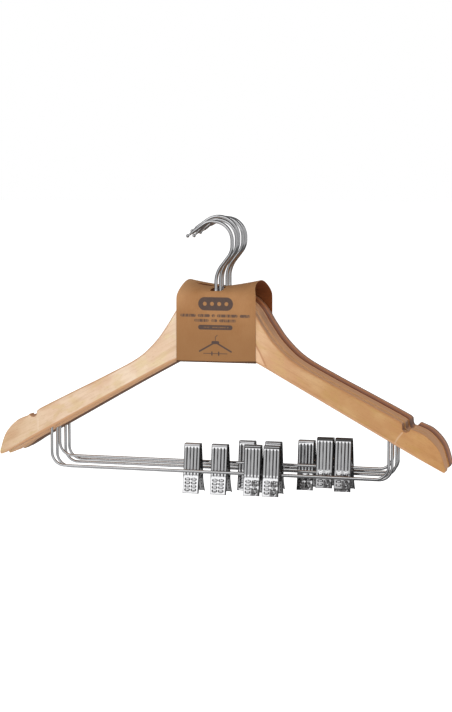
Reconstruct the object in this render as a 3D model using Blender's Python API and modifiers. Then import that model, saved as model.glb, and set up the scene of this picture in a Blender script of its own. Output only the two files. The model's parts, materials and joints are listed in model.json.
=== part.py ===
"""Five wooden trouser hangers, nested in a paper sleeve, with spring clips on their bars."""

import math

import bmesh
import bpy
from mathutils import Matrix, Vector

mm = 0.001

# Fits
gap = 0.3 * mm
cut_overrun = 5 * mm
weld_distance = 0.001 * mm

# The stack of hangers: heights count from the tips' lower corners, depths from the front face
hanger_count = 5
board_thickness = 12 * mm
sideways_shares = (0.0, 0.075, -0.075, 0.025, -0.025)
low_shares = (0.0, 0.0, 0.0, 0.04, 0.03)

# Wooden arms
half_span = 222.5 * mm
neck_height = 162.7 * mm
top_shares = (
    (0.0, 1.0), (0.099, 0.98), (0.162, 0.916), (0.213, 0.81), (0.268, 0.707),
    (0.351, 0.604), (0.49, 0.5), (0.661, 0.3835), (0.803, 0.285), (0.861, 0.238),
    (0.919, 0.2), (0.972, 0.119), (1.0, 0.006),
)
top_steps = 2
tip_corner_radius = 4 * mm
bottom_apex_share = 0.729
tip_foot_share = -0.0166
bottom_flat_half = 41 * mm
edge_round = 2.5 * mm
edge_segments = 1

# Finger joint between the arms
finger_half = 4 * mm
finger_turns = 8
joint_top_share = 0.787
joint_gap = 0.7 * mm

# Shoulder notch
notch_setback = 38.8 * mm
notch_width = 7.8 * mm
notch_depth = 8.5 * mm
notch_shares = ((0.0, 0.0), (0.04, 0.8), (0.32, 1.0), (0.72, 0.85), (1.0, 0.56))

# Hook and its ferrule
hook_wire = 3.4 * mm
hook_stem_rise = 16.3 * mm
hook_raise = 4 * mm
hook_raise_shares = (0.0, 0.38, 0.62, 0.75, 1.0)
hook_bend_radius = 16 * mm
hook_lean = math.radians(38)
hook_run = 14.2 * mm
hook_radius = 18.6 * mm
hook_sweep = math.radians(159)
hook_tip = 18.7 * mm
hook_ball = 3.5 * mm
hook_neck = 2 * mm
hook_neck_length = 2.2 * mm
hook_head = 5.6 * mm
hook_head_length = 5 * mm
ball_angles = (-50, -10, 35, 75)
hook_bend_steps = 4
hook_arc_steps = 13
ferrule_outer = 6.4 * mm
ferrule_length = 18 * mm
ferrule_recess = 0.5 * mm
round_steps = 12

# Trouser bar
bar_wire = 2.8 * mm
bar_half = 170 * mm
bar_bend_radius = 13 * mm
bar_bend_steps = 4
bar_leg_seat = 15 * mm
bar_drops = (11 * mm, 13.5 * mm, 4.5 * mm, 12 * mm, 11 * mm)

# Spring clips
clip_first_shares = (0.2218, -0.1588, 0.6071, 0.1265, 0.4618)
clip_spacing_shares = (1.175, 1.738, 1.131, 1.656, 2.344)
clip_width = 16 * mm
clip_sheet = 0.8 * mm
clip_above = 28.4 * mm
clip_below = 19 * mm
clip_lip_face = 3.5 * mm
clip_waist_face = 7 * mm
clip_lever_face = 11 * mm
jaw_bow_share = 0.08
lever_bow_share = 0.06
lip_steps = 4
ear_up_share = 0.3
ear_down_share = 0.3
ear_ring = 3.2 * mm
ear_ring_angles = (120, 165, 210, 250)
ear_hole_sides = 8

# Clip spring
spring_wire = 0.9 * mm
spring_bore_gap = 0.4 * mm
spring_curls = 2.5
spring_curl_points = 8
spring_pitch = 1.5 * mm
spring_leg = 5 * mm
spring_back_lean = math.radians(34)
spring_front_lean = math.radians(4)
least_self_gap = 0.4 * mm
gap_samples = 4

# Paper sleeve
sleeve_left = 38 * mm
sleeve_right = 42 * mm
paper = 0.4 * mm
sleeve_crown_middle = 5 * mm
sleeve_crown_end = 11 * mm
sleeve_shoulder_drop = 6 * mm
sleeve_station_shares = (0.0, 0.22, 0.5, 0.78, 1.0)
sleeve_arch_steps = 8
sleeve_arch_power = 0.8
slot_clearance = 0.5 * mm
slot_end_clearance = 1.4 * mm

# Places worked out from the sizes
board_pitch = board_thickness + gap
stack_depth = hanger_count * board_pitch - gap
hook_wire_radius = hook_wire / 2
bar_radius = bar_wire / 2
bottom_apex = neck_height * bottom_apex_share
bottom_slope = neck_height * (bottom_apex_share - tip_foot_share) / half_span
joint_top = neck_height * joint_top_share
hook_stem_height = neck_height + hook_stem_rise


def bottom_height(x):
    """Height of the arms' lower edge at a distance from the middle."""
    return bottom_apex - bottom_slope * max(abs(x), bottom_flat_half)


def hook_centre():
    """Centre of the hook's round part, from the stem's top, the bend and the straight run."""
    bend_end = Vector((
        hook_bend_radius * (1 - math.cos(hook_lean)),
        0,
        hook_stem_height + hook_bend_radius * math.sin(hook_lean),
    ))
    along = Vector((math.sin(hook_lean), 0, math.cos(hook_lean)))
    inward = Vector((-math.cos(hook_lean), 0, math.sin(hook_lean)))
    return bend_end + hook_run * along + hook_radius * inward


rail_height = hook_centre().z + hook_radius - hook_wire_radius


# Scene, finishes and object helpers
def clear_scene():
    for obj in list(bpy.data.objects):
        bpy.data.objects.remove(obj, do_unlink=True)


def new_collection(name):
    collection = bpy.data.collections.new(name)
    bpy.context.scene.collection.children.link(collection)
    return collection


def finish(name, colour, roughness, metallic):
    """A Principled material for one sub-part."""
    material = bpy.data.materials.new(name)
    material.use_nodes = True
    shader = material.node_tree.nodes["Principled BSDF"]
    shader.inputs["Base Color"].default_value = (*colour, 1)
    shader.inputs["Roughness"].default_value = roughness
    shader.inputs["Metallic"].default_value = metallic
    return material


finishes = {
    "beech": ((0.56, 0.36, 0.19), 0.45, 0.0),
    "steel": ((0.72, 0.72, 0.74), 0.18, 1.0),
    "spring_steel": ((0.45, 0.45, 0.47), 0.3, 1.0),
    "kraft": ((0.42, 0.24, 0.11), 0.8, 0.0),
}


def place(name, data, look, parent, location=(0, 0, 0)):
    """Add a named object, with its own material, under a parent."""
    obj = bpy.data.objects.new(name, data)
    parts.objects.link(obj)
    obj.parent = parent
    obj.location = location
    slot_holder = obj.data.materials
    if not slot_holder:
        slot_holder.append(None)
    obj.material_slots[0].link = "OBJECT"
    obj.material_slots[0].material = finish(name, *finishes[look])
    return obj


def pivot(name, parent, location):
    """An empty that stands on a joint's axis or carries a group."""
    empty = bpy.data.objects.new(name, None)
    parts.objects.link(empty)
    empty.parent = parent
    empty.location = location
    return empty


def add_spline(curve, points, cyclic, radii=None):
    spline = curve.splines.new("POLY")
    spline.points.add(len(points) - 1)
    for index, point in enumerate(points):
        spline.points[index].co = (*point, 1)
        spline.points[index].radius = radii[index] if radii else 1
    spline.use_cyclic_u = cyclic
    return spline


def wire(name, points, radius, resolution, radii=None):
    """A round wire along points, with closed ends."""
    curve = bpy.data.curves.new(name, "CURVE")
    curve.dimensions = "3D"
    curve.bevel_depth = radius
    curve.bevel_resolution = resolution
    curve.use_fill_caps = True
    add_spline(curve, points, False, radii)
    return curve


def tidy_mesh(mesh, turn):
    """Weld a mesh, set its normals outward and turn it to the object's axes."""
    work = bmesh.new()
    work.from_mesh(mesh)
    bmesh.ops.remove_doubles(work, verts=work.verts, dist=weld_distance)
    bmesh.ops.transform(work, matrix=turn, verts=work.verts)
    bmesh.ops.recalc_face_normals(work, faces=work.faces)
    work.to_mesh(mesh)
    work.free()
    return mesh


def take_mesh(obj, turn=None):
    """The evaluated mesh of a helper object, which is then removed."""
    bpy.context.view_layer.update()
    depsgraph = bpy.context.evaluated_depsgraph_get()
    mesh = bpy.data.meshes.new_from_object(obj.evaluated_get(depsgraph))
    mesh.materials.clear()
    bpy.data.objects.remove(obj, do_unlink=True)
    if turn is None:
        turn = Matrix.Identity(4)
    return tidy_mesh(mesh, turn)


def helper(name, data):
    obj = bpy.data.objects.new(name, data)
    obj.hide_render = True
    obj.display_type = "WIRE"
    cutters.objects.link(obj)
    return obj


def plate(name, outline, holes, thickness, turn):
    """A flat outline, with holes, of one thickness about its own plane."""
    curve = bpy.data.curves.new(name, "CURVE")
    curve.dimensions = "2D"
    curve.fill_mode = "BOTH"
    curve.extrude = thickness / 2
    for points in [outline, *holes]:
        add_spline(curve, [(x, y, 0) for x, y in points], True)
    return take_mesh(helper(name, curve), turn)


def strip(name, line, width, sheet, turn):
    """A bent strip of sheet, whose middle runs along a line."""
    curve = bpy.data.curves.new(name, "CURVE")
    curve.dimensions = "2D"
    curve.fill_mode = "NONE"
    curve.extrude = width / 2
    add_spline(curve, [(x, y, 0) for x, y in line], False)
    surface = helper(name, take_mesh(helper(name, curve)))
    solidify = surface.modifiers.new("sheet", "SOLIDIFY")
    solidify.thickness = sheet
    solidify.offset = 0
    solidify.use_even_offset = True
    return take_mesh(surface, turn)


def rod(name, radius, length, turn):
    """A cylinder about its own Z, from its middle, turned and moved into place."""
    mesh = bpy.data.meshes.new(name)
    work = bmesh.new()
    bmesh.ops.create_cone(
        work, cap_ends=True, segments=round_steps, radius1=radius, radius2=radius, depth=length
    )
    work.to_mesh(mesh)
    work.free()
    return tidy_mesh(mesh, turn)


def combine(name, base, others, operation):
    """One mesh from a base mesh and others that are cut from it or joined to it."""
    body = helper(name, base)
    tools = [helper(f"{name}_{operation.lower()}", mesh) for mesh in others]
    for tool in tools:
        boolean = body.modifiers.new(tool.name, "BOOLEAN")
        boolean.operation = operation
        boolean.object = tool
    mesh = take_mesh(body)
    for tool in tools:
        bpy.data.objects.remove(tool, do_unlink=True)
    mesh.name = name
    return mesh


def shade(mesh):
    mesh.shade_smooth()
    mesh.set_sharp_from_angle(angle=smooth_limit)
    return mesh


upright = Matrix.Rotation(math.pi / 2, 4, "X")
along_bar = Matrix(((0, 0, 1, 0), (1, 0, 0, 0), (0, 1, 0, 0), (0, 0, 0, 1)))
smooth_limit = math.radians(35)


# Outline helpers
def smooth_run(knots, steps):
    """Points on a Catmull-Rom curve through the knots, which end as they are."""
    padded = [knots[0], *knots, knots[-1]]
    points = []
    for index in range(1, len(padded) - 2):
        before, start, end, after = (Vector(knot) for knot in padded[index - 1:index + 3])
        for step in range(steps):
            t = step / steps
            points.append(0.5 * (
                2 * start
                + (end - before) * t
                + (2 * before - 5 * start + 4 * end - after) * t ** 2
                + (3 * start - before - 3 * end + after) * t ** 3
            ))
    points.append(Vector(knots[-1]))
    return points


def arc(centre, radius, start, sweep, steps):
    """Points in the XZ plane round a centre, by angle from +X."""
    return [
        Vector(centre) + radius * Vector((math.cos(angle), 0, math.sin(angle)))
        for angle in (start + sweep * step / steps for step in range(steps + 1))
    ]


# Wooden arms
def finger_line(side):
    """The joint's zigzag from the lower edge up, and the straight part above it."""
    foot = bottom_height(0)
    pitch = (joint_top - foot) / finger_turns
    line = [(0, foot)]
    for turn in range(finger_turns):
        swing = finger_half if turn % 2 else -finger_half
        line.append((swing, foot + (turn + 0.5) * pitch))
    line += [(0, joint_top), (0, neck_height)]
    return [(x + side * joint_gap / 2, z) for x, z in line]


def arm_outline(side):
    """One arm: lower edge, rounded tip, upper edge and the joint at the middle."""
    tip = Vector((half_span, bottom_height(half_span)))
    run_back = Vector((-1, bottom_slope)).normalized()
    corner = [
        tip + tip_corner_radius * run_back,
        tip + tip_corner_radius / 4 * (run_back + Vector((0, 1))),
    ]
    top = smooth_run([(half_span * x, neck_height * z) for x, z in top_shares], top_steps)
    lower = [Vector((bottom_flat_half, bottom_height(0))), *corner]
    outer = [(side * point.x, point.y) for point in lower + top[:0:-1]]
    return outer + finger_line(side)[::-1]


def round_edges(mesh):
    """The outline's edges get a bevel weight, apart from those in the finger joint."""
    work = bmesh.new()
    work.from_mesh(mesh)
    weights = work.edges.layers.float.new("bevel_weight_edge")
    joint_reach = finger_half + joint_gap
    for edge in work.edges:
        flat = [abs(face.normal.y) > 0.5 for face in edge.link_faces]
        in_joint = all(abs(vert.co.x) < joint_reach for vert in edge.verts)
        if any(flat) and not all(flat) and not in_joint:
            edge[weights] = 1
    work.to_mesh(mesh)
    work.free()
    obj = helper(mesh.name, mesh)
    bevel = obj.modifiers.new("rounding", "BEVEL")
    bevel.limit_method = "WEIGHT"
    bevel.width = edge_round
    bevel.segments = edge_segments
    bevel.use_clamp_overlap = False
    return take_mesh(obj)


def notch_cutter(side):
    """The notch's outline, open above the arm."""
    start = half_span - notch_setback
    rim = bottom_height(start) + notch_rim_rise()
    points = [(start + notch_width * x, rim - notch_depth * z) for x, z in notch_shares]
    above = rim + cut_overrun
    outline = [(start, above), *points, (start + notch_width, above)]
    outline = [(side * x, z) for x, z in outline]
    return plate("notch", outline, [], board_thickness + 2 * cut_overrun, upright)


def notch_rim_rise():
    """The arm's height at the notch's inner side, read from the upper edge's line."""
    start = half_span - notch_setback
    (x_low, z_low), (x_high, z_high) = top_shares[8:10]
    share = (start / half_span - x_low) / (x_high - x_low)
    return neck_height * (z_low + share * (z_high - z_low)) - bottom_height(start)


def arm_mesh(side):
    name = "right_arm" if side > 0 else "left_arm"
    board = round_edges(plate(name, arm_outline(side), [], board_thickness, upright))
    leg_top = leg_height() + gap
    leg_bottom = bottom_height(bar_half) - cut_overrun
    leg_middle = Matrix.Translation((side * bar_half, 0, (leg_top + leg_bottom) / 2))
    bore_bottom = head_bottom() - gap
    bore_top = neck_height + cut_overrun
    bore_middle = Matrix.Translation((0, 0, (bore_top + bore_bottom) / 2))
    holes = [
        notch_cutter(side),
        rod("leg_hole", bar_radius + gap, leg_top - leg_bottom, leg_middle),
        rod("hook_bore", ferrule_outer / 2 + gap, bore_top - bore_bottom, bore_middle),
    ]
    return shade(combine(name, board, holes, "DIFFERENCE"))


# Hook and ferrule
def ferrule_bottom():
    return neck_height - ferrule_recess - ferrule_length


def head_bottom():
    """Underside of the hook's upset head, which hangs under the ferrule."""
    return ferrule_bottom() - gap - hook_head_length


def hook_route(lift):
    """The hook's wire from its head to its ball, as points with their radii."""
    head_share = hook_head / hook_wire
    head_top = head_bottom() + hook_head_length
    chamfer = (hook_head - hook_wire) / 2
    route = [
        (Vector((0, 0, head_bottom())), 1),
        (Vector((0, 0, head_bottom() + chamfer)), head_share),
        (Vector((0, 0, head_top - chamfer)), head_share),
        (Vector((0, 0, head_top)), 1),
    ]
    rise = Vector((0, 0, lift))
    bend_centre = Vector((hook_bend_radius, 0, hook_stem_height)) + rise
    bend = arc(bend_centre, hook_bend_radius, math.pi, -hook_lean, hook_bend_steps)
    ring = arc(hook_centre() + rise, hook_radius, -hook_lean, hook_sweep, hook_arc_steps)
    route += [(point, 1) for point in bend + ring]
    tip_angle = hook_sweep - hook_lean
    onward = Vector((-math.sin(tip_angle), 0, math.cos(tip_angle)))
    ball_radius = hook_ball / 2
    ball_centre = ring[-1] + onward * hook_tip
    neck_end = ball_centre - onward * ball_radius
    neck_share = hook_neck / hook_wire
    route.append((neck_end - onward * (hook_neck_length + ball_radius / 2), 1))
    route.append((neck_end - onward * hook_neck_length, neck_share))
    for degrees in ball_angles:
        angle = math.radians(degrees)
        point = ball_centre + onward * ball_radius * math.sin(angle)
        route.append((point, ball_radius * math.cos(angle) / hook_wire_radius))
    return route


def hook_curve(name, lift):
    route = hook_route(lift)
    points = [point for point, share in route]
    radii = [share for point, share in route]
    return wire(name, points, hook_wire_radius, 2, radii)


def ferrule_mesh():
    """A tube turned from its wall's section."""
    inner = hook_wire_radius + gap
    outer = ferrule_outer / 2
    top = ferrule_bottom() + ferrule_length
    section = [(inner, ferrule_bottom()), (inner, top), (outer, top), (outer, ferrule_bottom())]
    mesh = bpy.data.meshes.new("ferrule")
    work = bmesh.new()
    corners = [work.verts.new((x, 0, z)) for x, z in section]
    for start, end in zip(corners, corners[1:] + corners[:1]):
        work.edges.new((start, end))
    work.to_mesh(mesh)
    work.free()
    obj = helper("ferrule", mesh)
    screw = obj.modifiers.new("turning", "SCREW")
    screw.steps = round_steps
    screw.render_steps = round_steps
    screw.use_merge_vertices = True
    screw.merge_threshold = weld_distance
    return shade(take_mesh(obj))


# Trouser bars
def leg_height():
    """Top of the bar's legs, inside the arms."""
    return bottom_height(bar_half) + bar_leg_seat


def bar_curve(name, drop):
    """The bar's wire: a leg, a bend, the long run, a bend and a leg."""
    left_centre = (-bar_half + bar_bend_radius, 0, -drop + bar_bend_radius)
    right_centre = (bar_half - bar_bend_radius, 0, -drop + bar_bend_radius)
    quarter = math.pi / 2
    points = [Vector((-bar_half, 0, leg_height()))]
    points += arc(left_centre, bar_bend_radius, math.pi, quarter, bar_bend_steps)
    points += arc(right_centre, bar_bend_radius, -quarter, quarter, bar_bend_steps)
    points.append(Vector((bar_half, 0, leg_height())))
    return wire(name, points, bar_radius, 2)


# Spring clips
def bowed(start, end, share):
    """A point halfway between two others, moved off their line by a share of its length."""
    run = end - start
    return (start + end) / 2 + share * Vector((run.y, -run.x))


def jaw_line(side):
    """The sheet's middle line in depth and height: rolled lip, jaw, waist and lever."""
    half_sheet = clip_sheet / 2
    inner = gap / 2 + half_sheet
    outer = clip_lip_face - half_sheet
    lip_radius = (outer - inner) / 2
    lip_centre = Vector(((inner + outer) / 2, clip_above - half_sheet - lip_radius))
    line = []
    for step in range(lip_steps + 1):
        angle = math.pi * (1 - step / lip_steps)
        line.append(lip_centre + lip_radius * Vector((math.cos(angle), math.sin(angle))))
    waist = Vector((clip_waist_face - half_sheet, 0))
    lever_end = Vector((clip_lever_face - half_sheet, -clip_below))
    line.append(bowed(line[-1], waist, -jaw_bow_share))
    line.append(waist)
    line.append(bowed(waist, lever_end, lever_bow_share))
    line.append(lever_end)
    return [Vector((side * point.x, point.y)) for point in line]


def line_depth(line, height):
    """Depth of the jaw's middle line at a height, on its outer side."""
    for start, end in zip(line[lip_steps:], line[lip_steps + 1:]):
        if end.y <= height <= start.y:
            share = (height - start.y) / (end.y - start.y)
            return start.x + share * (end.x - start.x)
    raise ValueError("height is off the jaw")


def circle_points(radius, sides):
    """A polygon whose flats lie at the radius."""
    reach = radius / math.cos(math.pi / sides)
    angles = [2 * math.pi * (side + 0.5) / sides for side in range(sides)]
    return [(reach * math.cos(angle), reach * math.sin(angle)) for angle in angles]


def jaw_mesh(name, side, ear_inset):
    """A jaw of bent sheet, with two ears that carry it on the bar."""
    line = jaw_line(side)
    up = clip_above * ear_up_share
    down = -clip_below * ear_down_share
    outline = [(line_depth(line, up), up)]
    for degrees in ear_ring_angles:
        angle = math.radians(degrees)
        outline.append((side * ear_ring * math.cos(angle), ear_ring * math.sin(angle)))
    outline.append((line_depth(line, down), down))
    ear_middle = clip_width / 2 - clip_sheet / 2 - ear_inset
    hole = circle_points(bar_radius + gap, ear_hole_sides)
    ears = []
    for end in (-1, 1):
        shift = Matrix.Translation((end * ear_middle, 0, 0))
        ears.append(plate(f"{name}_ear", outline, [hole], clip_sheet, shift @ along_bar))
    sheet = strip(name, line, clip_width, clip_sheet, along_bar)
    return combine(name, sheet, ears, "UNION")


def spring_points():
    """A coil round the bar, from the back leg's foot to the front leg's foot."""
    radius = bar_radius + spring_bore_gap + spring_wire / 2
    length = spring_curls * spring_pitch
    count = round(spring_curls * spring_curl_points)
    coil = []
    for step in range(count + 1):
        angle = 2 * math.pi * step / spring_curl_points
        across = length * (step / count - 0.5)
        coil.append(Vector((across, radius * math.cos(angle), radius * math.sin(angle))))
    back_foot = coil[0] + spring_leg * Vector((
        0, math.sin(spring_back_lean), -math.cos(spring_back_lean)
    ))
    front_foot = coil[-1] + spring_leg * Vector((
        0, -math.sin(spring_front_lean), -math.cos(spring_front_lean)
    ))
    return [back_foot, *coil, front_foot]


def self_gap(points, skip):
    """Least clear distance between a wire's stretches that aren't next to each other."""
    samples = []
    for start, end in zip(points, points[1:]):
        samples += [start + (end - start) * step / gap_samples for step in range(gap_samples)]
    near = skip * gap_samples
    distances = [
        (first - second).length
        for index, first in enumerate(samples)
        for second in samples[index + near:]
    ]
    return min(distances) - spring_wire


# Paper sleeve
def sleeve_floor():
    """Inside of the sleeve's lower panel, just under the lowest board at its ends."""
    lowest = max(low_shares) * board_thickness
    reach = max(sleeve_left, sleeve_right) + max(sideways_shares) * board_thickness
    return bottom_height(reach) - lowest - gap


def sleeve_section(bend):
    """Inside of the sleeve in depth and height, from its middle (bend 0) to its ends (bend 1)."""
    front = -gap
    back = stack_depth + gap
    crown = neck_height + sleeve_crown_middle + (sleeve_crown_end - sleeve_crown_middle) * bend
    spring_line = neck_height + gap - sleeve_shoulder_drop * bend
    rise = crown - spring_line
    half = (back - front) / 2
    section = [(front, sleeve_floor()), (front, (sleeve_floor() + spring_line) / 2)]
    for step in range(sleeve_arch_steps + 1):
        angle = math.pi * step / sleeve_arch_steps
        height = max(math.sin(angle), 0) ** sleeve_arch_power
        section.append((front + half * (1 - math.cos(angle)), spring_line + rise * height))
    section.append((back, (sleeve_floor() + spring_line) / 2))
    section.append((back, sleeve_floor()))
    return section


def slot_mesh():
    """Cutter for the slot in the sleeve's arch that the hooks stand in."""
    half_width = hook_wire_radius + max(sideways_shares) * board_thickness + slot_clearance
    first = board_thickness / 2
    last = stack_depth - board_thickness / 2
    reach = hook_wire_radius + slot_end_clearance
    outline = [
        (-half_width, first), (0, first - reach), (half_width, first),
        (half_width, last), (0, last + reach), (-half_width, last),
    ]
    height = sleeve_crown_end + 2 * cut_overrun
    middle = neck_height + sleeve_crown_end / 2
    return plate("slot", outline, [], height, Matrix.Translation((0, 0, middle)))


def sleeve_mesh():
    """A loop of paper lofted along the pack, whose arch is lowest in the middle."""
    work = bmesh.new()
    rings = []
    for share in sleeve_station_shares:
        x = -sleeve_left + share * (sleeve_left + sleeve_right)
        section = sleeve_section((2 * share - 1) ** 2)
        rings.append([work.verts.new((x, y, z)) for y, z in section])
    for ring, following in zip(rings, rings[1:]):
        for index in range(len(ring)):
            after = (index + 1) % len(ring)
            work.faces.new((ring[index], ring[after], following[after], following[index]))
    mesh = bpy.data.meshes.new("paper_sleeve")
    work.to_mesh(mesh)
    work.free()
    loop = helper("paper_sleeve", tidy_mesh(mesh, Matrix.Identity(4)))
    solidify = loop.modifiers.new("paper", "SOLIDIFY")
    solidify.thickness = paper
    solidify.offset = 1
    solidify.use_even_offset = True
    return shade(combine("paper_sleeve", take_mesh(loop), [slot_mesh()], "DIFFERENCE"))


# Assembly
def add_hanger(number, arms, ferrule, stack):
    """One hanger of the stack, whose wooden arms carry its hook, ferrule and bar."""
    index = number - 1
    sideways = sideways_shares[index] * board_thickness
    low = low_shares[index] * board_thickness
    depth = index * board_pitch + board_thickness / 2
    name = f"hanger_{number}"
    base = pivot(name, stack, (sideways, depth, -low))
    place(f"{name}_left_arm", arms["left"], "beech", base)
    place(f"{name}_right_arm", arms["right"], "beech", base)
    place(f"{name}_ferrule", ferrule, "spring_steel", base)
    hook = hook_curve(f"{name}_hook", hook_raise * hook_raise_shares[index] + low)
    place(f"{name}_hook", hook, "steel", base)
    bar = bar_curve(f"{name}_bar", bar_drops[index])
    place(f"{name}_bar", bar, "steel", base)
    return base


def add_clip(name, shapes, base, location):
    """One clip, whose jaws and spring turn about the bar."""
    axis = pivot(name, base, location)
    place(f"{name}_spring", shapes["spring"], "spring_steel", axis)
    place(f"{name}_back_jaw", shapes["back"], "steel", axis)
    place(f"{name}_front_jaw", shapes["front"], "steel", axis)


clear_scene()
parts = new_collection("trouser_hanger_pack")
cutters = new_collection("cutters")

# The origin is where a rail bears on the front hook, midway through the stack
pack = pivot("pack", None, (0, -stack_depth / 2, -rail_height))

arm_meshes = {"left": arm_mesh(-1), "right": arm_mesh(1)}
ferrule_tube = ferrule_mesh()
coil = spring_points()
clip_shapes = {
    "front": jaw_mesh("front_jaw", -1, 0),
    "back": jaw_mesh("back_jaw", 1, clip_sheet + gap),
    "spring": wire("spring", coil, spring_wire / 2, 1),
}
coil_gap = self_gap(coil, spring_curl_points - 1)
print(f"least gap of a clip spring to itself: {coil_gap / mm:.2f} mm")
if coil_gap < least_self_gap:
    print("the clip spring's turns are too close")

for number in range(1, hanger_count + 1):
    hanger = add_hanger(number, arm_meshes, ferrule_tube, pack)
    first = bar_half * clip_first_shares[number - 1]
    second = first + clip_width * clip_spacing_shares[number - 1]
    for letter, clip_x in zip("ab", (first, second)):
        spot = (clip_x - hanger.location.x, 0, -bar_drops[number - 1])
        add_clip(f"clip_{number}{letter}", clip_shapes, hanger, spot)

place("paper_sleeve", sleeve_mesh(), "kraft", pack)
bpy.context.view_layer.update()
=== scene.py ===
# Five wooden trouser hangers in a kraft sleeve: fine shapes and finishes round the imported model
import json
import random
from math import copysign, cos, hypot, pi, radians, sin, tan, tau

import bmesh
import bpy
from mathutils import Matrix, Vector


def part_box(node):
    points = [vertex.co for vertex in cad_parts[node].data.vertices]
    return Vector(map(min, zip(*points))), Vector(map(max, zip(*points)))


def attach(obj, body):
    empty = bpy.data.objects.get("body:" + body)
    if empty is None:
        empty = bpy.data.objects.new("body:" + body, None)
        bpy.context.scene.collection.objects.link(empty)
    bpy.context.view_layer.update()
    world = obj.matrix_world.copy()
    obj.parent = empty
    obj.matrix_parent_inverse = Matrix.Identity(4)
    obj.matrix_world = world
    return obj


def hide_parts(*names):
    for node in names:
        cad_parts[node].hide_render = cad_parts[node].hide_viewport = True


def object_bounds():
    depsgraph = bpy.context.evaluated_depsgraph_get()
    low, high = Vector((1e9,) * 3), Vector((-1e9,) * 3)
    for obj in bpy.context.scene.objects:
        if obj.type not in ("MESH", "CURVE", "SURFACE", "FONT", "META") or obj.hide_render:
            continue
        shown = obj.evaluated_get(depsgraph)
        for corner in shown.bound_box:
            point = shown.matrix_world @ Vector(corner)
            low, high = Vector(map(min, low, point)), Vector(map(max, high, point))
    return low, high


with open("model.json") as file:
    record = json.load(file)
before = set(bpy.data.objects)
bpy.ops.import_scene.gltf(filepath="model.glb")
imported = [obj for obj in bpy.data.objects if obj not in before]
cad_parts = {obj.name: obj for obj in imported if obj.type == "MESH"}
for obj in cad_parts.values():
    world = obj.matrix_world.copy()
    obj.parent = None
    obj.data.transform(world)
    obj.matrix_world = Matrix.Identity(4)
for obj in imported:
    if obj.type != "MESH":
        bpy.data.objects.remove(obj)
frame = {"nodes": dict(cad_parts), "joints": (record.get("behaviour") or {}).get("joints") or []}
cadLow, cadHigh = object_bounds()
mm = 0.001
weldGap = 0.001 * mm


def inMm(lengths):
    # lengths given in mm, alone or in tuples, as metres
    return {
        key: tuple(part * mm for part in value) if isinstance(value, tuple) else value * mm
        for key, value in lengths.items()
    }


numbers = range(1, 6)
letters = "ab"
joints = {joint["name"]: joint for joint in frame["joints"]}
print("frame loaded:", len(frame["nodes"]), "nodes")


# Helpers for meshes
def adjust(target, settings):
    for key, value in settings.items():
        setattr(target, key, value)


def modify(piece, kind, **settings):
    adjust(piece.modifiers.new(kind, kind), settings)


def tempObject(name, data):
    piece = bpy.data.objects.new(name, data)
    bpy.context.scene.collection.objects.link(piece)
    return piece


def newObject(name, mesh, spot, body, slot, *nodes):
    # a piece that rides on a body and stands for the nodes named
    piece = tempObject(name, mesh)
    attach(piece, body)
    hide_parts(*nodes)
    piece.location = spot


def takeMesh(piece):
    # the evaluated mesh of a helper, which goes away
    bpy.context.view_layer.update()
    graph = bpy.context.evaluated_depsgraph_get()
    mesh = bpy.data.meshes.new_from_object(piece.evaluated_get(graph), depsgraph=graph)
    mesh.materials.clear()
    bpy.data.objects.remove(piece, do_unlink=True)
    return mesh


def meshFrom(work, name):
    mesh = bpy.data.meshes.new(name)
    work.to_mesh(mesh)
    work.free()
    return mesh


def bridge(work, rings):
    # faces from each closed ring to the next
    for ring, following in zip(rings, rings[1:]):
        for index in range(len(ring)):
            after = (index + 1) % len(ring)
            work.faces.new((ring[index], ring[after], following[after], following[index]))


def thickened(mesh, thickness, offset):
    # a helper whose sheet has its thickness
    piece = tempObject(mesh.name, mesh)
    modify(piece, "SOLIDIFY", thickness=thickness, offset=offset, use_even_offset=True)
    return tempObject(mesh.name, takeMesh(piece))


def wireMesh(name, route, radius, sides, look):
    # a round wire along a route, as a mesh
    curve = polyCurve(
        name, [route], False, dimensions="3D", bevel_depth=radius, bevel_resolution=sides,
        use_fill_caps=True,
    )
    mesh = takeMesh(tempObject(name, curve))
    bpy.data.curves.remove(curve)
    weld(mesh)
    smoothShade(mesh, 60)
    mesh.materials.append(look)
    return mesh


def polyCurve(name, runs, cyclic, **settings):
    curve = bpy.data.curves.new(name, "CURVE")
    adjust(curve, settings)
    for points in runs:
        spline = curve.splines.new("POLY")
        spline.points.add(len(points) - 1)
        for spot, point in zip(spline.points, points):
            spot.co = (*point[:3], 1)
            spot.radius = point[3] if len(point) > 3 else 1
        spline.use_cyclic_u = cyclic
    return curve


def plateMesh(outline, holes, thickness, turn):
    # a flat outline with holes, given a thickness and turned into place
    runs = [[(x, y, 0) for x, y in points] for points in [outline, *holes]]
    curve = polyCurve("plate", runs, True, dimensions="2D", fill_mode="BOTH", extrude=thickness / 2)
    mesh = takeMesh(tempObject("plate", curve))
    mesh.transform(turn)
    weld(mesh)
    return mesh


def weld(mesh):
    work = bmesh.new()
    work.from_mesh(mesh)
    bmesh.ops.remove_doubles(work, verts=work.verts, dist=weldGap)
    bmesh.ops.recalc_face_normals(work, faces=work.faces)
    work.to_mesh(mesh)
    work.free()


def rodMesh(radius, x, low, high, sides):
    # an upright rod, to drill with
    work = bmesh.new()
    bmesh.ops.create_cone(
        work, cap_ends=True, segments=sides, radius1=radius, radius2=radius, depth=high - low,
        matrix=Matrix.Translation((x, 0, (low + high) / 2)),
    )
    return meshFrom(work, "rod")


def cutOrJoin(base, others, operation):
    # the base object with each other mesh cut from it or joined to it
    tools = [tempObject(f"{operation}Tool", mesh) for mesh in others]
    for tool in tools:
        modify(base, "BOOLEAN", operation=operation, object=tool)
    mesh = takeMesh(base)
    for tool in tools:
        bpy.data.objects.remove(tool, do_unlink=True)
    return mesh


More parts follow.
